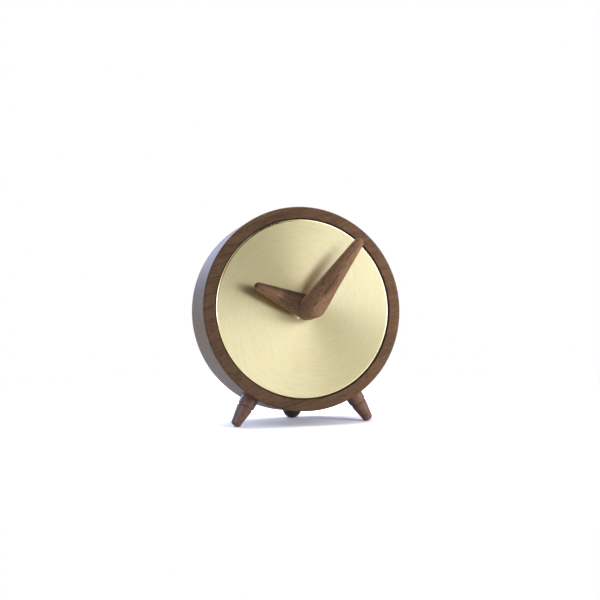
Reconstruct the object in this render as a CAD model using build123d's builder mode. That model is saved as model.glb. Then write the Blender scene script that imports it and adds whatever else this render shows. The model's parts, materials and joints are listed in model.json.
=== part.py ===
from build123d import *
import os
from math import cos, hypot, radians, sin, tan

# A small desk clock: a turned walnut case with a brushed brass dial and two carved walnut hands.
# It leans back on two splayed legs and one rubber foot, and a quartz movement turns the hands.
# Millimetres, +Z up, front towards -Y, origin on the table under the middle of the clock.
# A depth is measured behind the case's front rim, along the case's own leaning axis.
# A level is measured behind the front of the movement, and a rise in front of the dial.

# Stance
case_lean = 7.35
leg_splay = 31.8
leg_setback = 8.5
standing_flat = 0.15

# Case, a cup with a web across it that carries the dial
case_depth = 32.3
rim_width = 5.65
recess_wall = 8.0
recess_room = 4.06
web_thickness = 4.0
front_edge_round = 0.8
rim_inner_round = 0.25
back_edge_round = 4.0
recess_edge_round = 1.0

# Dial
dial_recess = 0.15
dial_thickness = 1.5
dial_edge_round = 1.3
dial_gap = 0.2

# Front legs, turned, with a collar, a groove and a cone
leg_sink = 0.7
collar_neck_radius = 4.15
collar_belly_radius = 4.32
collar_end_radius = 4.15
collar_length = 4.6
groove_width = 1.0
groove_radius = 3.65
cone_start_radius = 3.98
cone_taper = 9.83
leg_end_round = 1.8
leg_seat_gap = 0.1
stud_radius = 2.0
stud_length = 10.0
stud_in_case = 5.2
stud_gap = 0.04
stud_end_room = 0.3

# Rear foot, a rubber button
rear_foot_radius = 4.7
rear_foot_sink = 2.0
rear_foot_dome_sink = 0.864
rear_foot_inset = 4.9
spigot_radius = 1.6
spigot_length = 4.0

# Fixing of the movement through the dial
bush_radius = 3.8
bush_rise = 2.9
bush_hole_gap = 0.3
washer_radius = 6.0
washer_thickness = 0.4
nut_across_flats = 10.0
nut_thickness = 2.0
pad_thickness = 0.8
pad_radius = 10.0

# Hands: each is given by its hub, its tip and the angle that it points to, clockwise from twelve
hour_angle = 291.0
hour_length_share = 0.668
hour_hub_radius = 6.2
hour_tip_radius = 2.15
hour_rise = 3.5
hour_hub_height = 7.4
hour_tip_height = 9.9
hour_tip_thickness = 3.9
minute_angle = 36.8
minute_length_share = 0.888
minute_hub_radius = 5.9
minute_tip_radius = 2.45
minute_rise = 11.7
minute_hub_height = 9.0
minute_tip_height = 10.4
minute_tip_thickness = 4.4
hand_rim_round = 1.2
hand_underside_start = 4.0
hub_station_shares = [(-1.2, 0.5, 0.2, 0.9), (-0.6, 0.86, 0.5, 0.9), (0.2, 1.0, 0.62, 0.75)]
shaft_start_share = 0.35
shaft_station_shares = [0, 0.25, 0.5, 0.75, 1]
ridge_drop_share = 0.6
ridge_round_share = 0.8

# Shafts and the brass bushes in the hands
running_gap = 0.05
hour_pipe_radius = 2.5
hour_pipe_rise = 8.3
minute_pipe_radius = 1.5
minute_pipe_rise = 16.2
seconds_arbor_radius = 0.4
seconds_arbor_rise = 13.0
hand_bush_wall = 1.1
hand_bush_flange = 0.9
hand_bush_flange_thickness = 0.4
hand_hole_gap = 0.4

# Movement box
works_room = 11.4
box_corner_round = 4.0
box_floor = 1.2
box_wall = 1.2
cover_thickness = 2.0
cover_room = 1.1
cover_gap = 0.1
post_radius = 1.6

# Battery, an AA cell
cell_radius = 7.1
cell_length = 49.0
cell_button_radius = 2.75
cell_button_length = 1.3
cell_room = 0.25
cell_end_room = 1.0
cell_floor = 0.8
bay_wall = 1.0
bay_edge_wall = 0.9
bay_side_wall = 1.85
contact_thickness = 0.35
contact_width = 6.0
contact_bow = 0.45
contact_inset = 1.2
contact_bow_inset = 4.0
cell_end_round = 0.5
bay_corner_round = 1.0

# Motion work in front of the middle plate
cannon_teeth = 12
motion_teeth = 36
motion_pinion_teeth = 10
hour_teeth = 40
cannon_module = 0.25
wheel_thickness = 0.8
wheel_gap = 0.3
motion_bearing = 150.0
motion_post_radius = 0.5

# Going train behind the middle plate
centre_teeth = 48
third_pinion_teeth = 6
third_teeth = 45
seconds_pinion_teeth = 6
seconds_teeth = 40
intermediate_pinion_teeth = 8
intermediate_teeth = 36
rotor_pinion_teeth = 6
seconds_module = 0.26
intermediate_module = 0.29
rotor_module = 0.24
third_bearing = 60.0
intermediate_bearing = -20.0
train_wheel_thickness = 0.6
pinion_length = 1.2
centre_arbor_radius = 1.0
train_arbor_radius = 0.4
arbor_gap = 0.03

# Tooth form, as shares of the module and of the tooth pitch
addendum_share = 0.9
dedendum_share = 1.2
tooth_root_share = 0.27
tooth_tip_share = 0.1

# Middle plate
plate_start = 4.2
plate_thickness = 1.0
plate_half_width = 15.5
plate_room = 1.0
plate_high = 16.0
plate_corner_round = 2.0
plate_post_inset = 2.2
plate_pin_radius = 1.0
plate_pin_gap = 0.05
plate_pin_stand = 0.4
boss_radius = 1.2
boss_length = 1.1
boss_end_room = 0.2

# Stepping motor
magnet_radius = 2.0
magnet_start = 7.2
magnet_thickness = 1.6
stator_start = 7.5
stator_thickness = 0.8
stator_air_gap = 0.4
stator_ring = 1.6
stator_arm_width = 3.0
coil_gap = 0.92
coil_room = 2.4
coil_high = 15.0
core_width = 2.4
core_thickness = 0.8
stator_arm_shift = 1.2
bobbin_radius = 3.2
bobbin_sleeve_radius = 1.7
bobbin_slot_gap = 0.03
bobbin_flange = 1.0
bobbin_end_room = 2.6
winding_radius = 2.95

# Circuit
board_start = 8.6
board_thickness = 0.8
board_edge_gap = 1.2
board_right = -5.0
board_low = 14.5
chip_radius_share = 0.22
chip_height = 0.9
crystal_radius = 1.0
crystal_length_share = 0.54
crystal_round = 0.3
chip_taper = 35.0
board_post_inset = 2.0
board_part_inset = 5.0

# Setting knob and its arbor
knob_radius = 5.5
knob_thickness = 4.0
knob_lift = 0.4
knob_ribs = 18
knob_rib_radius = 0.45
knob_arbor_radius = 1.15

# Cover screws
screw_head_radius = 1.6
screw_head_height = 0.9
screw_radius = 0.9
screw_length = 6.0
screw_slot_width = 0.5
screw_slot_depth = 0.5
screw_inset = 3.2
screw_gap = 0.1

overrun = 1.0

# The leaning frame of the case, its origin in the middle of the front rim
box_width = cell_length + cell_button_length + 2 * (cell_end_room + bay_side_wall)
box_height = 2 * (works_room + bay_wall + 2 * (cell_radius + cell_room) + bay_edge_wall)
corner_reach = hypot(box_width / 2 - box_corner_round, box_height / 2 - box_corner_round)
recess_radius = corner_reach + box_corner_round + recess_room
case_radius = recess_radius + recess_wall
lean_sine = sin(radians(case_lean))
lean_cosine = cos(radians(case_lean))
rear_foot_setback = case_depth - rear_foot_inset
dome_reach = case_radius - rear_foot_dome_sink
centre_height = (
    dome_reach * lean_cosine + rear_foot_setback * lean_sine + rear_foot_radius - standing_flat
)

# The legs' cones, as long as it takes to reach the table beside the rear foot
shoulder_reach = case_radius - leg_sink
collar_end_reach = case_radius + collar_length
cone_reach = collar_end_reach + groove_width
splay_sine = sin(radians(leg_splay))
splay_cosine = cos(radians(leg_splay))
taper_tangent = tan(radians(cone_taper))
round_inset = leg_end_round * (1 / cos(radians(cone_taper)) - taper_tangent)
leg_drop = (centre_height + standing_flat - leg_end_round - leg_setback * lean_sine) / lean_cosine
leg_drop -= (cone_reach - leg_end_round) * splay_cosine + (cone_start_radius - round_inset) * splay_sine
cone_length = leg_drop / (splay_cosine - taper_tangent * splay_sine)
leg_end_radius = cone_start_radius - cone_length * taper_tangent
leg_reach = cone_reach + cone_length

# The frame of the case
hub_reach = (minute_rise + minute_hub_height - dial_recess) * lean_cosine
back_reach = (
    (case_radius - back_edge_round) * lean_sine
    + (case_depth - back_edge_round) * lean_cosine
    + back_edge_round
)
rim_place = (hub_reach - back_reach) / 2
face = Plane(
    origin=(0, rim_place, centre_height), x_dir=(1, 0, 0), z_dir=(0, -lean_cosine, lean_sine)
)
case_axis = Axis(face.origin, face.z_dir)
side_view = Plane(origin=face.origin, x_dir=face.x_dir, z_dir=-face.y_dir)

# Depths that the pieces share
web_front = dial_recess + dial_thickness
web_back = web_front + web_thickness
movement_front = web_back + pad_thickness
seat_radius = case_radius - rim_width
dial_radius = seat_radius - dial_gap
hour_length = hour_length_share * dial_radius
minute_length = minute_length_share * dial_radius
coil_level = stator_start + stator_thickness + core_thickness / 2
cover_start = coil_level + bobbin_radius + cover_room
box_depth = cover_start + cover_thickness

# Levels of the wheels
hour_wheel_start = box_floor + wheel_gap
hour_wheel_end = hour_wheel_start + wheel_thickness
cannon_start = hour_wheel_end + wheel_gap
motion_wheel_start = cannon_start + wheel_gap / 2
cannon_end = plate_start - 2 * wheel_gap
plate_end = plate_start + plate_thickness
centre_start = plate_end + wheel_gap
centre_end = centre_start + wheel_thickness
third_pinion_end = centre_start + pinion_length
third_start = third_pinion_end + 2 * wheel_gap
seconds_pinion_start = third_start - wheel_gap
third_end = third_start + train_wheel_thickness
seconds_start = third_end + 2 * wheel_gap
intermediate_pinion_start = seconds_start - wheel_gap / 2
intermediate_start = intermediate_pinion_start + pinion_length + wheel_gap
rotor_pinion_start = intermediate_start - wheel_gap
arbor_end = cover_start - wheel_gap

# Centre distances, which set the remaining modules
motion_distance = cannon_module * (cannon_teeth + motion_teeth) / 2
hour_module = 2 * motion_distance / (motion_pinion_teeth + hour_teeth)
third_distance = seconds_module * (seconds_pinion_teeth + third_teeth) / 2
centre_module = 2 * third_distance / (third_pinion_teeth + centre_teeth)
intermediate_distance = intermediate_module * (intermediate_pinion_teeth + seconds_teeth) / 2
rotor_distance = rotor_module * (rotor_pinion_teeth + intermediate_teeth) / 2


def polar(distance, bearing, start=(0, 0)):
    """The place that lies a distance from another, at a bearing seen from the front."""
    angle = radians(bearing)
    return (start[0] + distance * cos(angle), start[1] + distance * sin(angle))


centre_place = (0, 0)
motion_place = polar(motion_distance, motion_bearing)
knob_place = polar(2 * motion_distance, motion_bearing)
third_place = polar(third_distance, third_bearing)
intermediate_place = polar(intermediate_distance, intermediate_bearing)
rotor_place = polar(rotor_distance, intermediate_bearing, intermediate_place)
cell_place = -box_height / 2 + bay_edge_wall + cell_room + cell_radius
bay_top = cell_place + cell_radius + cell_room
cell_level = cell_floor + cell_room + cell_radius
works_low = bay_top + bay_wall
plate_low = works_low + plate_room
coil_low = works_low + coil_room
coil_offset = rotor_place[0] + magnet_radius + stator_air_gap + stator_ring + coil_gap + bobbin_radius
board_left = board_edge_gap + box_wall - box_width / 2
board_high = box_height / 2 - box_wall - board_edge_gap
board_height = board_high - board_low
pin_x = plate_half_width - plate_post_inset
plate_pins = [
    (-pin_x, plate_low + plate_post_inset),
    (pin_x, plate_low + plate_post_inset),
    (-pin_x, plate_high - plate_post_inset),
    (pin_x, plate_high - plate_post_inset),
]
screw_x = box_width / 2 - screw_inset
screw_high = box_height / 2 - screw_inset
screw_places = [(-screw_x, works_low + cover_gap + screw_inset), (0, screw_high), (screw_x, screw_high)]
coil_posts = [(coil_offset, coil_low), (coil_offset, coil_high)]
board_posts = [
    (board_left + board_post_inset, board_low + board_post_inset),
    (board_right - board_post_inset, board_high - board_post_inset),
]


def depth_plane(depth, place=(0, 0)):
    """A plane parallel to the dial at a depth behind the rim, its z axis towards the viewer."""
    flat = face.offset(-depth)
    return Plane(origin=flat.from_local_coords((*place, 0)), x_dir=face.x_dir, z_dir=face.z_dir)


def level_plane(level, place=(0, 0)):
    """A plane parallel to the dial at a level behind the front of the movement."""
    return depth_plane(movement_front + level, place)


def rise_plane(rise, place=(0, 0)):
    """A plane parallel to the dial at a rise in front of it."""
    return depth_plane(dial_recess - rise, place)


def rise_to_level(rise, level):
    """The distance from a rise in front of the dial back to a level in the movement."""
    return movement_front + level - dial_recess + rise


def finish(body, name):
    """Labels a finished piece and writes it."""
    body.part.label = name
    export_step(body.part, "parts/" + name + ".step")
    print(name, len(body.part.solids()), round(body.part.volume, 1))


# Toothed wheels
def meshed_phase(phase, teeth, bearing, other_teeth):
    """The turn of a wheel at a bearing from its neighbour, so that its gap takes a tooth."""
    share = (phase - bearing) * teeth / 360
    return bearing + 180 + (0.5 - share) * 360 / other_teeth


def toothed_corners(teeth, module, phase):
    """Corners of a toothed outline whose first tooth points at the phase angle."""
    pitch_radius = teeth * module / 2
    root_radius = pitch_radius - dedendum_share * module
    tip_radius = pitch_radius + addendum_share * module
    corners = []
    for tooth in range(teeth):
        for radius, turn_share in (
            (root_radius, -tooth_root_share),
            (tip_radius, -tooth_tip_share),
            (tip_radius, tooth_tip_share),
            (root_radius, tooth_root_share),
        ):
            angle = radians(phase + (tooth + turn_share) * 360 / teeth)
            corners.append((radius * cos(angle), radius * sin(angle)))
    return corners


cannon_phase = motion_bearing
motion_phase = meshed_phase(cannon_phase, cannon_teeth, motion_bearing, motion_teeth)
knob_phase = meshed_phase(motion_phase, motion_teeth, motion_bearing, cannon_teeth)
motion_pinion_phase = motion_bearing + 180
hour_phase = meshed_phase(
    motion_pinion_phase, motion_pinion_teeth, motion_bearing + 180, hour_teeth
)
centre_phase = third_bearing
third_pinion_phase = meshed_phase(centre_phase, centre_teeth, third_bearing, third_pinion_teeth)
seconds_pinion_phase = third_bearing
third_phase = meshed_phase(
    seconds_pinion_phase, seconds_pinion_teeth, third_bearing, third_teeth
)
seconds_phase = intermediate_bearing
intermediate_pinion_phase = meshed_phase(
    seconds_phase, seconds_teeth, intermediate_bearing, intermediate_pinion_teeth
)
intermediate_phase = intermediate_bearing
rotor_phase = meshed_phase(
    intermediate_phase, intermediate_teeth, intermediate_bearing, rotor_pinion_teeth
)


# Case
def leg_plane(side):
    """The plane of a leg's profile: x along the case axis, y out along the leg."""
    splay = radians(leg_splay)
    along = face.x_dir * (side * sin(splay)) - face.y_dir * cos(splay)
    return Plane(
        origin=depth_plane(leg_setback).origin, x_dir=face.z_dir, z_dir=face.z_dir.cross(along)
    )


def across_leg(side, reach):
    """The plane square to a leg at a reach from the case axis."""
    profile = leg_plane(side)
    return Plane(
        origin=profile.from_local_coords((0, reach, 0)), x_dir=face.z_dir, z_dir=profile.y_dir
    )


foot_plane = Plane(
    origin=depth_plane(rear_foot_setback).origin,
    x_dir=face.z_dir,
    z_dir=face.z_dir.cross(-face.y_dir),
)
foot_seat_reach = case_radius - rear_foot_sink
foot_seat = Plane(
    origin=foot_plane.from_local_coords((0, foot_seat_reach, 0)),
    x_dir=face.z_dir,
    z_dir=-face.y_dir,
)


def build_case():
    with BuildPart() as case:
        with BuildSketch(side_view):
            with BuildLine():
                Polyline(
                    (bush_radius + bush_hole_gap, -web_front),
                    (seat_radius, -web_front),
                    (seat_radius, 0),
                    (case_radius, 0),
                    (case_radius, -case_depth),
                    (recess_radius, -case_depth),
                    (recess_radius, -web_back),
                    (bush_radius + bush_hole_gap, -web_back),
                    close=True,
                )
            make_face()
        revolve(axis=case_axis)
        rings = case.edges().filter_by(GeomType.CIRCLE)
        front_rings = rings.sort_by(case_axis)[-2:].sort_by(SortBy.RADIUS)
        back_rings = rings.sort_by(case_axis)[:2].sort_by(SortBy.RADIUS)
        fillet(front_rings[-1], front_edge_round)
        fillet(back_rings[-1], back_edge_round)
        fillet(front_rings[0], rim_inner_round)
        fillet(back_rings[0], recess_edge_round)
        for side in (-1, 1):
            with BuildSketch(across_leg(side, shoulder_reach)):
                Circle(collar_neck_radius + leg_seat_gap)
            extrude(amount=leg_sink + overrun, mode=Mode.SUBTRACT)
            with BuildSketch(across_leg(side, shoulder_reach)):
                Circle(stud_radius + stud_gap)
            extrude(amount=-(stud_in_case + stud_end_room), mode=Mode.SUBTRACT)
        with BuildSketch(foot_seat):
            Circle(rear_foot_radius + leg_seat_gap)
        extrude(amount=rear_foot_sink + overrun, mode=Mode.SUBTRACT)
        with BuildSketch(foot_seat):
            Circle(spigot_radius + stud_gap)
        extrude(amount=-(spigot_length + stud_end_room), mode=Mode.SUBTRACT)
    finish(case, "case")


def build_dial():
    with BuildPart() as dial:
        with BuildSketch(depth_plane(dial_recess)):
            Circle(dial_radius)
            Circle(bush_radius + bush_hole_gap, mode=Mode.SUBTRACT)
        extrude(amount=-dial_thickness)
        rim = dial.edges().filter_by(GeomType.CIRCLE).sort_by(case_axis)[-2:]
        fillet(rim.sort_by(SortBy.RADIUS)[-1], dial_edge_round)
    finish(dial, "dial")


# Legs, studs and foot
def build_leg(side, name):
    profile = leg_plane(side)
    with BuildPart() as leg:
        with BuildSketch(profile) as outline:
            with BuildLine():
                Line((0, shoulder_reach), (collar_neck_radius, shoulder_reach))
                ThreePointArc(
                    (collar_neck_radius, shoulder_reach),
                    (collar_belly_radius, (shoulder_reach + collar_end_reach) / 2),
                    (collar_end_radius, collar_end_reach),
                )
                ThreePointArc(
                    (collar_end_radius, collar_end_reach),
                    (groove_radius, collar_end_reach + groove_width / 2),
                    (cone_start_radius, cone_reach),
                )
                Polyline(
                    (cone_start_radius, cone_reach),
                    (leg_end_radius, leg_reach),
                    (0, leg_reach),
                    (0, shoulder_reach),
                )
            make_face()
            corner = outline.vertices().sort_by_distance((leg_end_radius, leg_reach, 0))[0]
            fillet(corner, leg_end_round)
        revolve(axis=Axis(profile.origin, profile.y_dir))
        with BuildSketch(across_leg(side, shoulder_reach)):
            Circle(stud_radius + stud_gap)
        extrude(amount=stud_length - stud_in_case + stud_end_room, mode=Mode.SUBTRACT)
        split(bisect_by=Plane.XY, keep=Keep.TOP)
    finish(leg, name)


def build_studs():
    with BuildPart() as studs:
        for side in (-1, 1):
            with BuildSketch(across_leg(side, shoulder_reach - stud_in_case)):
                Circle(stud_radius)
            extrude(amount=stud_length)
    finish(studs, "leg_studs")


def build_rear_foot():
    with BuildPart() as foot:
        with BuildSketch(foot_plane):
            with BuildLine():
                Polyline(
                    (0, foot_seat_reach - spigot_length),
                    (spigot_radius, foot_seat_reach - spigot_length),
                    (spigot_radius, foot_seat_reach),
                    (rear_foot_radius, foot_seat_reach),
                    (rear_foot_radius, dome_reach),
                )
                RadiusArc(
                    (rear_foot_radius, dome_reach), (0, dome_reach + rear_foot_radius), -rear_foot_radius
                )
                Line((0, dome_reach + rear_foot_radius), (0, foot_seat_reach - spigot_length))
            make_face()
        revolve(axis=Axis(foot_plane.origin, foot_plane.y_dir))
        split(bisect_by=Plane.XY, keep=Keep.TOP)
    finish(foot, "rear_foot")


# Fixing of the movement
def build_fixings():
    with BuildPart() as washer:
        with BuildSketch(rise_plane(0)):
            Circle(washer_radius)
            Circle(bush_radius + bush_hole_gap, mode=Mode.SUBTRACT)
        extrude(amount=washer_thickness)
    finish(washer, "dial_washer")
    with BuildPart() as nut:
        with BuildSketch(rise_plane(washer_thickness)):
            RegularPolygon(nut_across_flats / 2, 6, major_radius=False)
            Circle(bush_radius + running_gap, mode=Mode.SUBTRACT)
        extrude(amount=nut_thickness)
    finish(nut, "fixing_nut")
    with BuildPart() as pad:
        with BuildSketch(depth_plane(web_back)):
            Circle(pad_radius)
            Circle(bush_radius + bush_hole_gap, mode=Mode.SUBTRACT)
        extrude(amount=-pad_thickness)
    finish(pad, "rubber_washer")


# Hands
def build_hand(name, rise, angle, length, hub, tip, hub_height, tip_height, tip_thickness, pipe, bore):
    """A carved hand that points away from its hub, with its underside rising towards the tip."""
    pointing = face.x_dir * sin(radians(angle)) + face.y_dir * cos(radians(angle))
    hand = Plane(origin=rise_plane(rise).origin, x_dir=pointing, z_dir=face.z_dir)
    # Stations along the hand: place, heights of ridge and eaves, half width, rounding of the ridge
    stations = []
    for place_share, ridge_share, eave_share, round_share in hub_station_shares:
        stations.append(
            (place_share * hub, ridge_share * hub_height, eave_share * hub_height, hub, round_share * hub)
        )
    shaft_start = shaft_start_share * length
    for share in shaft_station_shares:
        place = shaft_start + share * (length + overrun - shaft_start)
        ridge = hub_height + share * (tip_height - hub_height)
        width = hub + (tip - hub) * place / length
        drop = ridge_drop_share * width
        stations.append((place, ridge, ridge - drop, width, ridge_round_share * width))
    half_width = hub + overrun
    pipe_radius, pipe_rise = pipe
    with BuildPart() as body:
        for place, ridge, eave, width, ridge_round in stations:
            section = Plane(
                origin=hand.from_local_coords((place, 0, 0)), x_dir=hand.y_dir, z_dir=hand.x_dir
            )
            slope = (ridge - eave) / width
            outer_eave = eave - slope * (half_width - width) * tip / hub
            with BuildSketch(section) as outline:
                with BuildLine():
                    Polyline(
                        (-half_width, -overrun),
                        (-half_width, outer_eave),
                        (0, ridge),
                        (half_width, outer_eave),
                        (half_width, -overrun),
                        close=True,
                    )
                make_face()
                fillet(outline.vertices().sort_by_distance((0, ridge, 0))[0], ridge_round)
        loft()
        with BuildSketch(hand):
            Circle(hub)
            with Locations((length - tip, 0)):
                Circle(tip)
            make_hull()
        extrude(amount=tip_height + hub_height, mode=Mode.INTERSECT)
        rake = (tip_height - tip_thickness) / (length - hand_underside_start)
        reach = length + overrun
        with BuildSketch(Plane(origin=hand.origin, x_dir=hand.x_dir, z_dir=-hand.y_dir)):
            with BuildLine():
                Polyline(
                    (hand_underside_start, 0),
                    (reach, rake * (reach - hand_underside_start)),
                    (reach, -overrun),
                    (hand_underside_start, -overrun),
                    close=True,
                )
            make_face()
        extrude(amount=half_width, both=True, mode=Mode.SUBTRACT)
        roof = body.faces().filter_by(GeomType.BSPLINE)
        walls = body.faces() - roof
        fillet(roof.edges() & walls.edges(), hand_rim_round)
        with BuildSketch(hand):
            Circle(pipe_radius + hand_bush_wall)
        extrude(amount=pipe_rise - rise, mode=Mode.SUBTRACT)
        if bore:
            with BuildSketch(hand):
                Circle(bore)
            extrude(amount=tip_height + hub_height, mode=Mode.SUBTRACT)
    finish(body, name)


def build_hand_bush(name, rise, pipe):
    pipe_radius, pipe_rise = pipe
    with BuildPart() as bush:
        with BuildSketch(rise_plane(rise)):
            Circle(pipe_radius + hand_bush_wall)
            Circle(pipe_radius, mode=Mode.SUBTRACT)
        extrude(amount=pipe_rise - rise)
        with BuildSketch(rise_plane(rise)):
            Circle(pipe_radius + hand_bush_wall + hand_bush_flange)
            Circle(pipe_radius, mode=Mode.SUBTRACT)
        extrude(amount=-hand_bush_flange_thickness)
    finish(bush, name)


def build_hands():
    hour_pipe = (hour_pipe_radius, hour_pipe_rise)
    minute_pipe = (minute_pipe_radius, minute_pipe_rise)
    build_hand(
        "hour_hand",
        hour_rise,
        hour_angle,
        hour_length,
        hour_hub_radius,
        hour_tip_radius,
        hour_hub_height,
        hour_tip_height,
        hour_tip_thickness,
        hour_pipe,
        minute_pipe_radius + hand_hole_gap,
    )
    build_hand(
        "minute_hand",
        minute_rise,
        minute_angle,
        minute_length,
        minute_hub_radius,
        minute_tip_radius,
        minute_hub_height,
        minute_tip_height,
        minute_tip_thickness,
        minute_pipe,
        0,
    )
    build_hand_bush("hour_hand_bush", hour_rise, hour_pipe)
    build_hand_bush("minute_hand_bush", minute_rise, minute_pipe)


# Wheels and arbors
def build_hour_wheel():
    bore = minute_pipe_radius + running_gap
    with BuildPart() as wheel:
        with BuildSketch(level_plane(hour_wheel_start)):
            Polygon(*toothed_corners(hour_teeth, hour_module, hour_phase), align=None)
            Circle(bore, mode=Mode.SUBTRACT)
        extrude(amount=-wheel_thickness)
        with BuildSketch(rise_plane(hour_pipe_rise)):
            Circle(hour_pipe_radius)
            Circle(bore, mode=Mode.SUBTRACT)
        extrude(amount=-rise_to_level(hour_pipe_rise, hour_wheel_end))
    finish(wheel, "hour_wheel")


def build_cannon_pinion():
    bore = seconds_arbor_radius + arbor_gap
    with BuildPart() as pinion:
        with BuildSketch(level_plane(cannon_start)):
            Polygon(*toothed_corners(cannon_teeth, cannon_module, cannon_phase), align=None)
            Circle(bore, mode=Mode.SUBTRACT)
        extrude(amount=-(cannon_end - cannon_start))
        with BuildSketch(rise_plane(minute_pipe_rise)):
            Circle(minute_pipe_radius)
            Circle(bore, mode=Mode.SUBTRACT)
        extrude(amount=-rise_to_level(minute_pipe_rise, cannon_start))
        with BuildSketch(level_plane(cannon_end)):
            Circle(centre_arbor_radius)
            Circle(bore, mode=Mode.SUBTRACT)
        extrude(amount=-(centre_end - cannon_end + wheel_gap / 2))
    finish(pinion, "cannon_pinion")


def build_motion_wheel():
    bore = motion_post_radius + running_gap
    with BuildPart() as wheel:
        with BuildSketch(level_plane(motion_wheel_start, motion_place)):
            Polygon(*toothed_corners(motion_teeth, cannon_module, motion_phase), align=None)
            Circle(bore, mode=Mode.SUBTRACT)
        extrude(amount=-wheel_thickness)
        with BuildSketch(level_plane(hour_wheel_start, motion_place)):
            Polygon(*toothed_corners(motion_pinion_teeth, hour_module, motion_pinion_phase), align=None)
            Circle(bore, mode=Mode.SUBTRACT)
        extrude(amount=-(motion_wheel_start - hour_wheel_start))
    finish(wheel, "motion_wheel")


def build_setting_knob():
    with BuildPart() as knob:
        with BuildSketch(level_plane(cannon_start, knob_place)):
            Polygon(*toothed_corners(cannon_teeth, cannon_module, knob_phase), align=None)
        extrude(amount=-(cannon_end - cannon_start))
        with BuildSketch(level_plane(hour_wheel_start, knob_place)):
            Circle(knob_arbor_radius)
        extrude(amount=-(box_depth + knob_lift - hour_wheel_start))
        with BuildSketch(level_plane(box_depth + knob_lift, knob_place)):
            Circle(knob_radius)
            with PolarLocations(knob_radius, knob_ribs):
                Circle(knob_rib_radius)
        extrude(amount=-knob_thickness)
    finish(knob, "setting_knob")


def build_train_wheel(name, place, phases, wheel, pinion, arbor_ends):
    """A wheel and a pinion on one arbor; each is start level, thickness, teeth and module."""
    wheel_phase, pinion_phase = phases
    wheel_start, wheel_depth, teeth, module = wheel
    pinion_start, pinion_depth, leaves, pinion_module = pinion
    arbor_start, arbor_stop = arbor_ends
    with BuildPart() as body:
        with BuildSketch(level_plane(wheel_start, place)):
            Polygon(*toothed_corners(teeth, module, wheel_phase), align=None)
        extrude(amount=-wheel_depth)
        with BuildSketch(level_plane(pinion_start, place)):
            Polygon(*toothed_corners(leaves, pinion_module, pinion_phase), align=None)
        extrude(amount=-pinion_depth)
        with BuildSketch(level_plane(arbor_start, place)):
            Circle(train_arbor_radius)
        extrude(amount=-(arbor_stop - arbor_start))
    finish(body, name)


def build_going_train():
    arbor_start = plate_start + wheel_gap
    with BuildPart() as centre:
        with BuildSketch(level_plane(centre_start)):
            Polygon(*toothed_corners(centre_teeth, centre_module, centre_phase), align=None)
            Circle(centre_arbor_radius + arbor_gap, mode=Mode.SUBTRACT)
        extrude(amount=-wheel_thickness)
    finish(centre, "centre_wheel")
    build_train_wheel(
        "third_wheel",
        third_place,
        (third_phase, third_pinion_phase),
        (third_start, train_wheel_thickness, third_teeth, seconds_module),
        (centre_start, pinion_length, third_pinion_teeth, centre_module),
        (arbor_start, arbor_end),
    )
    build_train_wheel(
        "seconds_wheel",
        centre_place,
        (seconds_phase, seconds_pinion_phase),
        (seconds_start, train_wheel_thickness, seconds_teeth, intermediate_module),
        (seconds_pinion_start, pinion_length, seconds_pinion_teeth, seconds_module),
        (-rise_to_level(seconds_arbor_rise, 0), arbor_end),
    )
    build_train_wheel(
        "intermediate_wheel",
        intermediate_place,
        (intermediate_phase, intermediate_pinion_phase),
        (intermediate_start, train_wheel_thickness, intermediate_teeth, rotor_module),
        (
            intermediate_pinion_start,
            intermediate_start - intermediate_pinion_start,
            intermediate_pinion_teeth,
            intermediate_module,
        ),
        (arbor_start, arbor_end),
    )
    with BuildPart() as rotor:
        with BuildSketch(level_plane(rotor_pinion_start, rotor_place)):
            Polygon(*toothed_corners(rotor_pinion_teeth, rotor_module, rotor_phase), align=None)
        extrude(amount=-pinion_length)
        with BuildSketch(level_plane(arbor_start, rotor_place)):
            Circle(train_arbor_radius)
        extrude(amount=-(arbor_end - arbor_start))
    finish(rotor, "rotor")
    with BuildPart() as magnet:
        with BuildSketch(level_plane(magnet_start, rotor_place)):
            Circle(magnet_radius)
            Circle(train_arbor_radius, mode=Mode.SUBTRACT)
        extrude(amount=-magnet_thickness)
    finish(magnet, "rotor_magnet")


# Movement box, plate and cover
def works_outline(inset):
    """The room for the works beside the battery bay, drawn inside its walls by an inset."""
    side = box_width / 2 - box_wall - inset
    high = box_height / 2 - box_wall - inset
    low = works_low + inset
    with Locations((0, (high + low) / 2)):
        return RectangleRounded(2 * side, high - low, box_corner_round - box_wall - inset)


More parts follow.
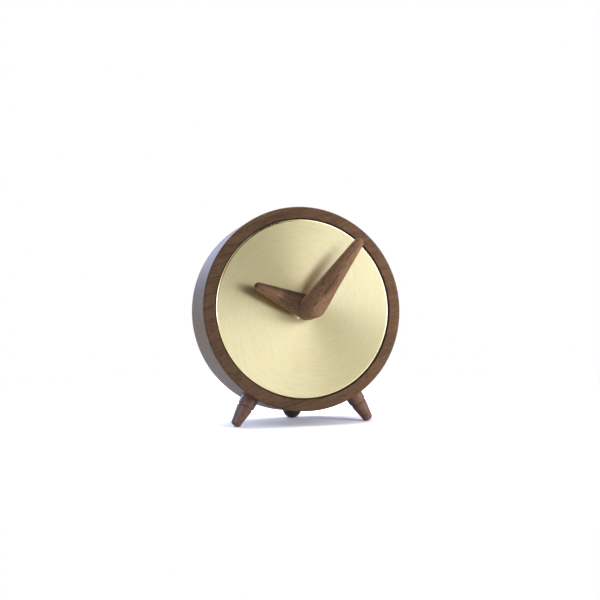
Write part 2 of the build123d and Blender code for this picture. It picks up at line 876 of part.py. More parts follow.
def build_movement_housing():
    bay_length = cell_length + cell_button_length + 2 * cell_end_room
    with BuildPart() as housing:
        with BuildSketch(level_plane(0)):
            RectangleRounded(box_width, box_height, box_corner_round)
        extrude(amount=-box_depth)
        with BuildSketch(level_plane(box_floor)):
            works_outline(0)
        extrude(amount=-box_depth, mode=Mode.SUBTRACT)
        with BuildSketch(level_plane(cell_floor)):
            with Locations((0, cell_place)):
                RectangleRounded(bay_length, 2 * (cell_radius + cell_room), bay_corner_round)
        extrude(amount=-box_depth, mode=Mode.SUBTRACT)
        with BuildSketch(rise_plane(bush_rise)):
            Circle(bush_radius)
        extrude(amount=-rise_to_level(bush_rise, 0))
        for posts, stop in (
            (plate_pins, plate_start),
            (screw_places, cover_start),
            (coil_posts, stator_start),
            (board_posts, board_start),
        ):
            with BuildSketch(level_plane(box_floor)):
                with Locations(*posts):
                    Circle(post_radius)
            extrude(amount=-(stop - box_floor))
        with BuildSketch(level_plane(plate_start)):
            with Locations(*plate_pins):
                Circle(plate_pin_radius)
        extrude(amount=-(plate_thickness + plate_pin_stand))
        with BuildSketch(level_plane(box_floor)):
            with Locations(motion_place):
                Circle(motion_post_radius)
        extrude(amount=-(plate_start - wheel_gap - box_floor))
        with BuildSketch(level_plane(cover_start)):
            with Locations(*screw_places):
                Circle(screw_radius + stud_gap)
        extrude(amount=screw_length, mode=Mode.SUBTRACT)
        with BuildSketch(rise_plane(bush_rise)):
            Circle(hour_pipe_radius + running_gap)
        extrude(amount=-rise_to_level(bush_rise, box_floor), mode=Mode.SUBTRACT)
    finish(housing, "movement_housing")


def build_movement_plate():
    train_holes = [third_place, intermediate_place, rotor_place]
    with BuildPart() as plate:
        with BuildSketch(level_plane(plate_start)):
            with Locations((0, (plate_low + plate_high) / 2)):
                RectangleRounded(2 * plate_half_width, plate_high - plate_low, plate_corner_round)
            with Locations(*plate_pins):
                Circle(plate_pin_radius + plate_pin_gap, mode=Mode.SUBTRACT)
            with Locations(*train_holes):
                Circle(train_arbor_radius + arbor_gap, mode=Mode.SUBTRACT)
            with Locations(knob_place):
                Circle(knob_arbor_radius + running_gap, mode=Mode.SUBTRACT)
            Circle(centre_arbor_radius + running_gap, mode=Mode.SUBTRACT)
        extrude(amount=-plate_thickness)
    finish(plate, "movement_plate")


def build_movement_cover():
    train_places = [centre_place, third_place, intermediate_place, rotor_place]
    with BuildPart() as cover:
        with BuildSketch(level_plane(cover_start)):
            works_outline(cover_gap)
            with Locations(knob_place):
                Circle(knob_arbor_radius + running_gap, mode=Mode.SUBTRACT)
            with Locations(*screw_places):
                Circle(screw_radius + screw_gap, mode=Mode.SUBTRACT)
        extrude(amount=-cover_thickness)
        with BuildSketch(level_plane(box_depth)):
            with Locations(*screw_places):
                Circle(screw_head_radius + screw_gap)
        extrude(amount=screw_head_height, mode=Mode.SUBTRACT)
        with BuildSketch(level_plane(cover_start)):
            with Locations(*train_places):
                Circle(boss_radius)
        extrude(amount=boss_length)
        with BuildSketch(level_plane(arbor_end + boss_end_room)):
            with Locations(*train_places):
                Circle(train_arbor_radius + arbor_gap)
        extrude(amount=boss_length, mode=Mode.SUBTRACT)
    finish(cover, "movement_back_cover")


def build_cover_screws():
    with BuildPart() as screws:
        with BuildSketch(level_plane(box_depth)):
            with Locations(*screw_places):
                Circle(screw_head_radius)
        extrude(amount=screw_head_height)
        with BuildSketch(level_plane(box_depth - screw_head_height)):
            with Locations(*screw_places):
                Circle(screw_radius)
        extrude(amount=screw_length)
        with BuildSketch(level_plane(box_depth)):
            with Locations(*screw_places):
                Rectangle(2 * screw_head_radius + overrun, screw_slot_width)
        extrude(amount=screw_slot_depth, mode=Mode.SUBTRACT)
    finish(screws, "cover_screws")


# Stepping motor
def build_motor():
    rotor_x, rotor_y = rotor_place
    arm_x = rotor_x + stator_arm_shift
    arms = [
        ((arm_x, rotor_y), (arm_x, coil_high)),
        ((arm_x, coil_high), (coil_offset, coil_high)),
        ((rotor_x, rotor_y), (rotor_x, coil_low)),
        ((rotor_x, coil_low), (coil_offset, coil_low)),
    ]
    with BuildPart() as stator:
        with BuildSketch(level_plane(stator_start)):
            with Locations(rotor_place):
                Circle(magnet_radius + stator_air_gap + stator_ring)
            for start, end in arms:
                middle = ((start[0] + end[0]) / 2, (start[1] + end[1]) / 2)
                SlotCenterPoint(middle, end, stator_arm_width)
            with Locations(rotor_place):
                Circle(magnet_radius + stator_air_gap, mode=Mode.SUBTRACT)
        extrude(amount=-stator_thickness)
    finish(stator, "stator")
    core_start = stator_start + stator_thickness
    coil_middle = (coil_low + coil_high) / 2
    with BuildPart() as core:
        with BuildSketch(level_plane(core_start, (coil_offset, coil_middle))):
            Rectangle(core_width, coil_high - coil_low + core_width)
        extrude(amount=-core_thickness)
    finish(core, "coil_core")
    bobbin_low = coil_low + bobbin_end_room
    bobbin_length = coil_high - bobbin_end_room - bobbin_low
    bobbin_end = Plane(
        origin=level_plane(coil_level, (coil_offset, bobbin_low)).origin,
        x_dir=face.x_dir,
        z_dir=face.y_dir,
    )
    with BuildPart() as bobbin:
        with BuildSketch(bobbin_end):
            Circle(bobbin_sleeve_radius)
        extrude(amount=bobbin_length)
        with BuildSketch(bobbin_end, bobbin_end.offset(bobbin_length - bobbin_flange)):
            Circle(bobbin_radius)
        extrude(amount=bobbin_flange)
        with BuildSketch(bobbin_end):
            Rectangle(core_width + bobbin_slot_gap, core_thickness + bobbin_slot_gap)
        extrude(amount=bobbin_length, mode=Mode.SUBTRACT)
    finish(bobbin, "coil_bobbin")
    with BuildPart() as winding:
        with BuildSketch(bobbin_end.offset(bobbin_flange)):
            Circle(winding_radius)
            Circle(bobbin_sleeve_radius, mode=Mode.SUBTRACT)
        extrude(amount=bobbin_length - 2 * bobbin_flange)
    finish(winding, "coil_winding")


# Circuit
def build_circuit():
    board_end = board_start + board_thickness
    middle_y = (board_low + board_high) / 2
    with BuildPart() as board:
        with BuildSketch(level_plane(board_start, ((board_left + board_right) / 2, middle_y))):
            Rectangle(board_right - board_left, board_high - board_low)
        extrude(amount=-board_thickness)
    finish(board, "circuit_board")
    with BuildPart() as chip:
        with BuildSketch(level_plane(board_end, (board_left + board_part_inset, middle_y))):
            Circle(chip_radius_share * board_height)
        extrude(amount=-chip_height, taper=chip_taper)
    finish(chip, "circuit_chip")
    crystal_x = board_right - board_part_inset
    crystal_length = crystal_length_share * board_height
    crystal_end = Plane(
        origin=level_plane(
            board_end + crystal_radius, (crystal_x, middle_y - crystal_length / 2)
        ).origin,
        x_dir=face.x_dir,
        z_dir=face.y_dir,
    )
    with BuildPart() as crystal:
        with BuildSketch(crystal_end):
            Circle(crystal_radius)
        extrude(amount=crystal_length)
        fillet(crystal.edges().filter_by(GeomType.CIRCLE), crystal_round)
    finish(crystal, "quartz_crystal")


# Battery and its contacts
def build_contact(side, name):
    bay_end = (cell_length + cell_button_length) / 2 + cell_end_room
    flat_side = bay_end - contact_thickness
    strip_plane = Plane(
        origin=level_plane(0, (0, cell_place - contact_width / 2)).origin,
        x_dir=face.x_dir,
        z_dir=face.y_dir,
    )
    low = cell_floor + contact_inset
    high = box_depth - contact_inset
    with BuildPart() as contact:
        with BuildSketch(strip_plane):
            with BuildLine():
                Polyline(
                    (side * flat_side, low + contact_bow_inset),
                    (side * flat_side, low),
                    (side * bay_end, low),
                    (side * bay_end, high),
                    (side * flat_side, high),
                    (side * flat_side, high - contact_bow_inset),
                )
                ThreePointArc(
                    (side * flat_side, high - contact_bow_inset),
                    (side * (flat_side - contact_bow), (low + high) / 2),
                    (side * flat_side, low + contact_bow_inset),
                )
            make_face()
        extrude(amount=contact_width)
    finish(contact, name)


def build_battery():
    half_length = (cell_length + cell_button_length) / 2
    cell_end = Plane(
        origin=level_plane(cell_level, (-half_length, cell_place)).origin,
        x_dir=face.y_dir,
        z_dir=face.x_dir,
    )
    with BuildPart() as cell:
        with BuildSketch(cell_end):
            Circle(cell_radius)
        extrude(amount=cell_length)
        fillet(cell.edges().filter_by(GeomType.CIRCLE), cell_end_round)
        with BuildSketch(cell_end.offset(cell_length)):
            Circle(cell_button_radius)
        extrude(amount=cell_button_length)
    finish(cell, "battery")


os.makedirs("parts", exist_ok=True)
build_case()
build_dial()
build_leg(-1, "front_left_leg")
build_leg(1, "front_right_leg")
build_studs()
build_rear_foot()
build_fixings()
build_hands()
build_hour_wheel()
build_cannon_pinion()
build_motion_wheel()
build_setting_knob()
build_going_train()
build_movement_housing()
build_movement_plate()
build_movement_cover()
build_cover_screws()
build_motor()
build_circuit()
build_contact(-1, "negative_contact")
build_contact(1, "positive_contact")
build_battery()
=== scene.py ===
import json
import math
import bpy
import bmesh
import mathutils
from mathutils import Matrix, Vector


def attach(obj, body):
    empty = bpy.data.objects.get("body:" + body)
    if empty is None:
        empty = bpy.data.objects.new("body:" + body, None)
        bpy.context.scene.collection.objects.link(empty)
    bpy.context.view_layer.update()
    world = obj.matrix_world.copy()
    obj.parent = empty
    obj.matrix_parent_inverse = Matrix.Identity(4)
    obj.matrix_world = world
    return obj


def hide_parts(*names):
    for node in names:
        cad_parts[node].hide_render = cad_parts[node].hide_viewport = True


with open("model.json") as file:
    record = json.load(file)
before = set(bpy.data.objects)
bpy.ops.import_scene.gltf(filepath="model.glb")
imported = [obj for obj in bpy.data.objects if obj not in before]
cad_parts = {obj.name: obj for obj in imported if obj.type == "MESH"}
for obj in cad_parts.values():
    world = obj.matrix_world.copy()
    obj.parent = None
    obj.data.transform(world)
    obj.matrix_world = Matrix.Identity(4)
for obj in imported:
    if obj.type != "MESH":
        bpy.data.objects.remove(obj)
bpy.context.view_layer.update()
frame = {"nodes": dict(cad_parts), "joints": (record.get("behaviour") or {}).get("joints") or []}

# %% [markdown]
# A wooden desk clock: a round walnut case that leans back on two turned legs and a rubber button,
# a brushed brass dial, and two carved walnut hands that stand free in front of it. A quartz
# movement sits in the recess behind the dial.
# The CAD model gives every solid its shape and place, in metres, and this script leaves them where
# they are. It gives each one its finish, carves the two hands, adds the small marks on the
# movement's back, and builds the studio round the clock.

nodes = frame["nodes"]
scene = bpy.context.scene

# %% [markdown]
# The case leans back, so most finishes are laid out in the case's own frame.
# x runs to the right along the dial, y up along it and z out of it, towards the viewer.
# Its origin is the middle of the dial's front. The lean could be typed in as a number, but the
# hands' joint already gives the line through the dial, and the dial's own mesh says how far along
# that line its front lies. Read from there, the frame follows the CAD model.

# %% The leaning frame of the case
minute_joint = next(joint for joint in frame["joints"] if joint["name"] == "minute_turn")
inward = Vector(minute_joint["axis"]).normalized()
on_the_axis = Vector(minute_joint["pos_m"])
dial_points = [vertex.co for vertex in nodes["dial"].data.vertices]
dial_front = min(point.dot(inward) for point in dial_points)
dial_middle = on_the_axis + inward * (dial_front - on_the_axis.dot(inward))
lean = math.asin(-inward.z)
case_frame = Matrix.Translation(dial_middle) @ Matrix.Rotation(math.pi / 2 - lean, 4, "X")
print("dial middle", [round(v, 5) for v in dial_middle], "lean", round(math.degrees(lean), 3))

# %% [markdown]
# The picture was taken from half a metre away, a little to the left of the dial and above it.
# A camera can be dragged into place by hand, but a distance and three angles are easier to read
# and to change. The long lens keeps the legs nearly parallel. The shift slides the picture until
# the dial's middle falls on its own pixel, without turning the camera.

# %% Camera
picture_size = 600
dial_pixel = (304.4, 308.3)
camera_distance = 0.5
azimuth = math.radians(-17.112)
elevation = math.radians(3.292)
roll = math.radians(-0.257)

camera_data = bpy.data.cameras.new("camera")
camera_data.sensor_width = 36
camera_data.lens = 61.641
camera_data.shift_x = -(dial_pixel[0] - picture_size / 2) / picture_size
camera_data.shift_y = (dial_pixel[1] - picture_size / 2) / picture_size
camera_data.clip_start = 0.01
camera = bpy.data.objects.new("camera", camera_data)
scene.collection.objects.link(camera)
level_part = math.cos(elevation)
towards_camera = Vector(
    (math.sin(azimuth) * level_part, -math.cos(azimuth) * level_part, math.sin(elevation))
)
facing = towards_camera.to_track_quat("Z", "Y").to_matrix()
camera.location = dial_middle + towards_camera * camera_distance
camera.rotation_mode = "QUATERNION"
camera.rotation_quaternion = (Matrix.Rotation(-roll, 3, towards_camera) @ facing).to_quaternion()
scene.camera = camera
print("camera at", [round(v, 3) for v in camera.location])

# %% [markdown]
# Every finish here is a small web of nodes. Nodes can be added and joined one call at a time, but
# then one material takes a page. The first helper adds a node, sets its plain values and joins its
# inputs. The others stand for a sum, a noise or a ramp, so that each finish below reads like a
# recipe.

# %% A helper for node recipes
def add_node(tree, kind, settings=(), **inputs):
    """Adds a node. A plain value is set on its input, and another node's output is joined to it.

    An input is given by its name, or as i and its number.
    """
    node = tree.nodes.new(kind)
    for key, value in dict(settings).items():
        setattr(node, key, value)
    for key, value in inputs.items():
        index = int(key[1:]) if key[0] == "i" and key[1:].isdigit() else key.replace("_", " ")
        if isinstance(value, bpy.types.NodeSocket):
            tree.links.new(value, node.inputs[index])
        else:
            node.inputs[index].default_value = value
    return node


def new_finish(name):
    """Starts a material and returns it with its tree and its main shader."""
    finish = bpy.data.materials.new(name)
    finish.use_nodes = True
    tree = finish.node_tree
    return finish, tree, tree.nodes["Principled BSDF"]


print("a finish can be started")

# %% Helpers for numbers
def calculate(tree, operation, first, second=0.5, third=0.5):
    """One sum on numbers."""
    settings = {"operation": operation}
    return add_node(tree, "ShaderNodeMath", settings, i0=first, i1=second, i2=third).outputs[0]


def remap(tree, value, low, high, new_low=0.0, new_high=1.0):
    """A value stretched from one range to another and held inside it."""
    return add_node(
        tree, "ShaderNodeMapRange", i0=value, i1=low, i2=high, i3=new_low, i4=new_high
    ).outputs[0]


def mix_numbers(tree, share, first, second):
    """Two numbers mixed by a share."""
    settings = {"data_type": "FLOAT"}
    return add_node(tree, "ShaderNodeMix", settings, i0=share, i2=first, i3=second).outputs[0]


def noise(tree, place, scale, detail=2.0, roughness=0.5, distortion=0.0):
    """A cloudy value between 0 and 1."""
    return add_node(
        tree, "ShaderNodeTexNoise", Vector=place, Scale=scale, Detail=detail, Roughness=roughness,
        Distortion=distortion,
    ).outputs["Fac"]


print("helpers for numbers ready")

# %% Helpers for places and directions
def on_vectors(tree, operation, first, second=(0, 0, 0)):
    """One sum on places or directions."""
    settings = {"operation": operation}
    return add_node(tree, "ShaderNodeVectorMath", settings, i0=first, i1=second).outputs[0]


def scaled(tree, vector, factor):
    """A direction or a colour made longer or brighter by a factor."""
    settings = {"operation": "SCALE"}
    return add_node(tree, "ShaderNodeVectorMath", settings, i0=vector, Scale=factor).outputs[0]


def length_of(tree, vector):
    """How long a vector is."""
    settings = {"operation": "LENGTH"}
    return add_node(tree, "ShaderNodeVectorMath", settings, i0=vector).outputs["Value"]


def laid_out(tree, piece_frame):
    """The surface's place in millimetres, in a frame of the piece's own."""
    coordinates = add_node(tree, "ShaderNodeTexCoord").outputs["Object"]
    back = piece_frame.inverted()
    mapping = add_node(tree, "ShaderNodeMapping", Vector=coordinates)
    mapping.inputs["Location"].default_value = back.translation * 1000
    mapping.inputs["Rotation"].default_value = back.to_euler()
    mapping.inputs["Scale"].default_value = (1000, 1000, 1000)
    return mapping.outputs[0]


print("helpers for places ready")

# %% Helpers for colours
def ramp(tree, value, stops):
    """A colour ramp from a list of places and colours."""
    node = add_node(tree, "ShaderNodeValToRGB", i0=value)
    elements = node.color_ramp.elements
    elements[0].position, elements[0].color = stops[0][0], (*stops[0][1], 1)
    elements[1].position, elements[1].color = stops[-1][0], (*stops[-1][1], 1)
    for position, colour in stops[1:-1]:
        element = elements.new(position)
        element.color = (*colour, 1)
    return node.outputs["Color"]


def mix_colours(tree, share, first, second):
    """Two colours mixed by a share."""
    settings = {"data_type": "RGBA"}
    return add_node(tree, "ShaderNodeMix", settings, i0=share, i6=first, i7=second).outputs[2]


print("helpers for colours ready")

# %% [markdown]
# Walnut shows three things at this distance: broad dark and light bands where the cut crosses
# the year rings, long fibres along the grain, and short dark pores. A photograph of a board could
# be wrapped round the case, but it would smear on the ring's edges. Here all three are drawn in
# three dimensions, in a frame whose x runs along the fibres, so that the figure goes through the
# wood and turns into rings and dots wherever the turning cuts across the fibres.

# %% The year rings and the veins of walnut, which also paint shade on the hour hand
# The heart of the tree lies off to one side of the board. All lengths are in millimetres.
heart_side = 47.0
heart_depth = 31.0
year_width = 5.2
year_wander = 16.0
late_sharpness = 2.2
band_wander = 3.0
band_start_fade = 4
band_end_fade = 5


def late_wood(tree, parts, drift):
    """How late in its year the wood at a place grew, from 0 to 1."""
    side = calculate(tree, "ADD", parts.outputs[1], heart_side)
    depth = calculate(tree, "ADD", parts.outputs[2], heart_depth)
    squares = calculate(tree, "MULTIPLY_ADD", side, side, calculate(tree, "MULTIPLY", depth, depth))
    reach = calculate(tree, "SQRT", squares)
    wandering = calculate(tree, "MULTIPLY_ADD", drift, year_wander, reach)
    year = calculate(tree, "FRACT", calculate(tree, "DIVIDE", wandering, year_width))
    return calculate(tree, "POWER", year, late_sharpness)


def vein_and_painted_shade(tree, parts, drift, vein_and_shade):
    """How much of the colour a band takes away: a dark vein, which on the hour hand is also painted
    shade.

    A band is where it starts and ends on x, its middle on z and how that drifts with x, its half
    width and its depth.
    """
    start, end, middle_line, slope, half_width, strength = vein_and_shade
    along = parts.outputs[0]
    wander = calculate(tree, "MULTIPLY_ADD", drift, band_wander, -band_wander / 2 - middle_line)
    wander = calculate(tree, "MULTIPLY_ADD", along, -slope, wander)
    off_line = calculate(tree, "ABSOLUTE", calculate(tree, "ADD", parts.outputs[2], wander))
    starting = remap(tree, along, start, start + band_start_fade)
    ending = remap(tree, along, end, end - band_end_fade)
    width = remap(tree, off_line, 0.0, half_width, strength, 0.0)
    return calculate(tree, "MULTIPLY", width, calculate(tree, "MULTIPLY", starting, ending))


print("year rings", year_width, "mm wide")

# %% Walnut
# Each layer of the figure changes this fast along and across the fibres, per millimetre.
drift_grain = (0.012, 0.05)
fibre_grain = (0.05, 1.5)
fine_grain = (0.16, 6.0)
pore_grain = (0.3, 3.0)
blotch_grain = (0.03, 0.09)
pore_darkness = 0.35
oiled_wood_index = 1.48


def grain_noise(tree, place, grain, detail, roughness=0.5, distortion=0.0):
    """A noise drawn out along the fibres."""
    drawn_out = on_vectors(tree, "MULTIPLY", place, (grain[0], grain[1], grain[1]))
    return noise(tree, drawn_out, 1.0, detail, roughness, distortion)


def walnut(name, grain_frame, light, dark, gloss, painted_light_span=(15, 50, 1.0), shine=0.25, vein_and_shade=None):
    """Oiled walnut with its fibres along x, painted paler by a factor from one place on x to
    another: painted light on the end where more light falls.
    """
    finish, tree, shader = new_finish(name)
    place = laid_out(tree, grain_frame)
    parts = add_node(tree, "ShaderNodeSeparateXYZ", i0=place)
    drift = grain_noise(tree, place, drift_grain, 2.0)
    fibres = grain_noise(tree, place, fibre_grain, 4.0, 0.6, 0.3)
    fine = grain_noise(tree, place, fine_grain, 2.0)
    pores = remap(tree, grain_noise(tree, place, pore_grain, 1.0, 0.4), 0.58, 0.7)
    blotch = grain_noise(tree, place, blotch_grain, 1.0)

    tone = calculate(tree, "MULTIPLY", late_wood(tree, parts, drift), -0.22)
    for layer, weight in ((fibres, 0.8), (fine, 0.5), (blotch, 0.5)):
        tone = calculate(tree, "MULTIPLY_ADD", layer, weight, tone)
    middle = tuple((a + b) / 2 for a, b in zip(light, dark))
    stops = [(0.0, dark), (0.5, middle), (1.0, light)]
    colour = ramp(tree, remap(tree, tone, 0.42, 1.15), stops)
    pore_colour = (*[v * pore_darkness for v in dark], 1)
    colour = mix_colours(tree, calculate(tree, "MULTIPLY", pores, 0.75), colour, pore_colour)
    # Painted light: from one place on x to another the colour grows paler by a factor, standing in
    # for light that falls more on that end.
    painted_light_and_band = remap(tree, parts.outputs[0], painted_light_span[0], painted_light_span[1], 1.0, painted_light_span[2])
    # A dark band lowers the colour further: a vein, which on the hour hand also lies as painted
    # shade on the upper flank.
    if vein_and_shade:
        left_over = calculate(tree, "SUBTRACT", 1.0, vein_and_painted_shade(tree, parts, drift, vein_and_shade))
        painted_light_and_band = calculate(tree, "MULTIPLY", painted_light_and_band, left_over)
    tree.links.new(scaled(tree, colour, painted_light_and_band), shader.inputs["Base Color"])

    rough = remap(tree, fibres, 0.3, 0.7, gloss + 0.08, gloss - 0.04)
    tree.links.new(rough, shader.inputs["Roughness"])
    relief = calculate(tree, "MULTIPLY_ADD", pores, -0.8, calculate(tree, "MULTIPLY", fine, 0.5))
    bump = add_node(tree, "ShaderNodeBump", Strength=0.35, Distance=0.00006, Height=relief)
    tree.links.new(bump.outputs[0], shader.inputs["Normal"])
    shader.inputs["IOR"].default_value = oiled_wood_index
    shader.inputs["Specular IOR Level"].default_value = shine
    return finish


print("walnut recipe ready")

# %% Walnut of the case
def grain_along(direction, origin):
    """A frame whose x runs along a direction of the case frame."""
    along = (case_frame.to_3x3() @ Vector(direction)).normalized()
    second = Vector((0.1, 0.2, 1.0)).cross(along).normalized()
    third = along.cross(second)
    turned = Matrix((along, second, third)).transposed().to_4x4()
    return Matrix.Translation(case_frame @ Vector(origin)) @ turned


# The case's walnut is painted paler towards the right of the ring: painted light where the key lamp
# falls from the right.
case_walnut = walnut(
    "case walnut", grain_along((1, 0.28, 0.05), (0, 0, -0.02)),
    light=(0.118, 0.065, 0.034), dark=(0.044, 0.022, 0.011), gloss=0.42, painted_light_span=(5, 48, 1.35),
)
print("case walnut ready")

# %% [markdown]
# The hands and legs are other pieces of the same wood, and each has fibres along its own length.
# One walnut for all of them would run straight through from the case. So each gets its own grain
# frame, and its own light and dark: the hands are paler and drier than the case and each has one
# dark vein, and the legs have more polish. The minute hand's tip is painted paler, as painted
# light, the hour hand's vein also lays painted shade along its upper flank, and the left leg is
# painted darker than the right, as painted shade away from the key lamp.

# %% Walnut of the hands
def pointing_at(clock_angle):
    """The direction of a hand at an angle clockwise from twelve, rising a little off the dial."""
    angle = math.radians(clock_angle)
    return (math.sin(angle), math.cos(angle), 0.16)


minute_angle = 36.8
hour_angle = 291
hand_wood = {
    "light": (0.235, 0.135, 0.078), "dark": (0.08, 0.041, 0.022), "gloss": 0.55, "shine": 0.05,
}
# The minute hand's walnut is painted paler towards its tip: a painted highlight where the tip tilts
# towards the light.
minute_walnut = walnut(
    "minute hand walnut", grain_along(pointing_at(minute_angle), (0, 0.002, 0.02)),
    **hand_wood, painted_light_span=(10, 40, 1.35), vein_and_shade=(2, 18, -1.0, 0.0, 1.6, 0.5),
)
# The hour hand's vein runs along its whole upper flank: a dark streak in the wood, and painted
# shade on the flank that faces up.
hour_walnut = walnut(
    "hour hand walnut", grain_along(pointing_at(hour_angle), (0.003, 0, 0.01)),
    **hand_wood, vein_and_shade=(-2, 40, 4.2, -0.12, 2.8, 0.62),
)
print("walnut of the hands ready")

# %% Walnut of the legs
splay = math.radians(31.8)
leg_dark = (0.08, 0.036, 0.022)
# The left leg's light tone is set darker than the right's: painted shade on the leg away from the
# key lamp.
left_leg_walnut_painted_shade = walnut(
    "left leg walnut, painted shade", grain_along((-math.sin(splay), -math.cos(splay), 0), (0, 0, -0.01)),
    light=(0.16, 0.078, 0.054), dark=leg_dark, gloss=0.3, shine=0.6,
)
right_leg_walnut = walnut(
    "right leg walnut", grain_along((math.sin(splay), -math.cos(splay), 0), (0, 0, -0.012)),
    light=(0.19, 0.094, 0.055), dark=leg_dark, gloss=0.32, shine=0.5,
)
print("walnut of the legs ready")

# %% [markdown]
# The dial was brushed by hand with a circular sweep, so its scratches spiral out from the middle.
# Scratches spread a reflection across themselves, and that makes the bright and dark wedges.
# The wedges could be painted on, but then they would stay still when the viewer moves. An
# anisotropic shader whose tangent lies across the scratches gives them from any side.
# A scratch runs outward by 1 mm while it runs round by sweep_start + sweep_growth * radius mm.
# The single strokes are noise laid along the same spiral. Fine strokes are long, and broad ones
# fade sooner. The rounded edge of the dial was polished instead, so it mirrors a bright line.

# %% The direction of the brushing
sweep_start = 0.9
sweep_growth = 0.08


def across_the_scratches(tree, reach, outward):
    """The direction in the dial's plane that is square to the scratches."""
    around = on_vectors(tree, "CROSS_PRODUCT", (0, 0, 1), outward)
    turn = calculate(tree, "MULTIPLY_ADD", reach, sweep_growth, sweep_start)
    across = on_vectors(tree, "SUBTRACT", around, scaled(tree, outward, turn))
    settings = {"rotation_type": "X_AXIS"}
    leaning = add_node(
        tree, "ShaderNodeVectorRotate", settings, Vector=across, Angle=math.pi / 2 - lean
    ).outputs[0]
    return on_vectors(tree, "NORMALIZE", leaning)


def scratch_number(tree, reach, bearing):
    """A number that stays the same all along one scratch."""
    curl = calculate(
        tree, "MULTIPLY_ADD", calculate(tree, "LOGARITHM", reach, math.e), sweep_start,
        calculate(tree, "MULTIPLY", reach, sweep_growth),
    )
    return calculate(tree, "SUBTRACT", bearing, curl)


def strokes(tree, scratch, reach, fading, count, roughness):
    """Noise along the scratches: count sets how many there are, and fading how soon they end."""
    place = add_node(
        tree, "ShaderNodeCombineXYZ", i0=calculate(tree, "COSINE", scratch),
        i1=calculate(tree, "SINE", scratch), i2=calculate(tree, "MULTIPLY", reach, fading),
    ).outputs[0]
    return noise(tree, place, count, 3.0, roughness)


print("brushing turns by", sweep_growth, "radians per mm far from the middle")

# %% Brushed brass of the dial
brass_tones = [(0.3, (0.75, 0.65, 0.36)), (0.5, (0.865, 0.775, 0.47)), (0.7, (0.95, 0.875, 0.58))]
brushed_gloss = 0.225
edge_gloss = 0.14
edge_width = 1.3
edge_blend = 0.3
dial_reach = 1000 * max((point - dial_middle).cross(inward).length for point in dial_points)


def brushed_brass():
    """The dial's finish, with its scratches and its polished edge."""
    finish, tree, shader = new_finish("brushed brass")
    place = laid_out(tree, case_frame)
    parts = add_node(tree, "ShaderNodeSeparateXYZ", i0=place)
    x, y = parts.outputs[0], parts.outputs[1]
    flat = add_node(tree, "ShaderNodeCombineXYZ", i0=x, i1=y).outputs[0]
    reach = length_of(tree, flat)
    tangent = across_the_scratches(tree, reach, on_vectors(tree, "NORMALIZE", flat))
    tree.links.new(tangent, shader.inputs["Tangent"])

    scratch = scratch_number(tree, reach, calculate(tree, "ARCTAN2", y, x))
    fine = strokes(tree, scratch, reach, 0.004, 160.0, 0.6)
    broad = strokes(tree, scratch, reach, 0.02, 26.0, 0.7)
    half_broad = calculate(tree, "MULTIPLY", broad, 0.5)
    tone = calculate(tree, "MULTIPLY_ADD", fine, 0.5, half_broad)
    tree.links.new(ramp(tree, tone, brass_tones), shader.inputs["Base Color"])

    cloud = noise(tree, place, 0.05, 2.0)
    rough = calculate(tree, "MULTIPLY_ADD", cloud, 0.04, brushed_gloss)
    rough = calculate(tree, "MULTIPLY_ADD", tone, 0.09, rough)
    edge_start = dial_reach - edge_width
    on_the_edge = remap(tree, reach, edge_start, edge_start + edge_blend)
    rough = mix_numbers(tree, on_the_edge, rough, edge_gloss)
    tree.links.new(rough, shader.inputs["Roughness"])
    bump = add_node(tree, "ShaderNodeBump", Strength=0.05, Distance=0.00001, Height=fine)
    tree.links.new(bump.outputs[0], shader.inputs["Normal"])
    shader.inputs["Metallic"].default_value = 1.0
    shader.inputs["Anisotropic"].default_value = 0.85
    return finish


dial_brass = brushed_brass()
print("dial brass ready, dial", round(2 * dial_reach, 1), "mm across")

# %% [markdown]
# The small parts are what a workshop buys in or moulds: turned brass, plated and rolled steel,
# acetal wheels, black plastic and rubber. One flat colour each would look like paint. One recipe
# with a little variation in tone, gloss and relief does for all of them, with other numbers.

# %% Plain finishes
def plain_finish(
    name, colour, gloss, metal=0.0, mottle=0.12, grain=4.0, relief=0.25, depth=0.00002,
    stretched=(1, 1, 1),
):
    """A finish whose tone and gloss vary a little, with a fine grain."""
    finish, tree, shader = new_finish(name)
    place = on_vectors(tree, "MULTIPLY", laid_out(tree, case_frame), stretched)
    patches = noise(tree, place, grain * 0.08, 3.0)
    specks = noise(tree, place, grain, 3.0, 0.6)
    tone = calculate(tree, "MULTIPLY_ADD", specks, 0.4, calculate(tree, "MULTIPLY", patches, 0.6))
    low = tuple(v * (1 - mottle) for v in colour)
    high = tuple(min(1.0, v * (1 + mottle)) for v in colour)
    tree.links.new(ramp(tree, tone, [(0.3, low), (0.7, high)]), shader.inputs["Base Color"])
    rough = remap(tree, tone, 0.3, 0.7, gloss + 0.05, gloss - 0.05)
    tree.links.new(rough, shader.inputs["Roughness"])
    bump = add_node(tree, "ShaderNodeBump", Strength=relief, Distance=depth, Height=specks)
    tree.links.new(bump.outputs[0], shader.inputs["Normal"])
    shader.inputs["Metallic"].default_value = metal
    return finish


print("plain recipe ready")

# %% Metals
# After the name and colour: gloss, metal, mottle, grain, relief, its depth, and the stretch.
turned_brass = plain_finish("turned brass", (0.86, 0.77, 0.52), 0.27, 1.0, 0.05, 5.0, 0.1)
zinc_steel = plain_finish("zinc steel", (0.6, 0.6, 0.6), 0.32, 1.0, 0.08, 6.0, 0.2)
silicon_steel = plain_finish("silicon steel", (0.42, 0.43, 0.45), 0.38, 1.0, 0.1, 3.0, 0.2)
nickel = plain_finish("nickel plate", (0.72, 0.7, 0.66), 0.18, 1.0, 0.05, 5.0, 0.1)
copper = plain_finish(
    "copper wire", (0.6, 0.22, 0.09), 0.3, 1.0, 0.12, 9.0, 0.6, 0.00006, (1, 0.02, 1)
)
print("metals ready")

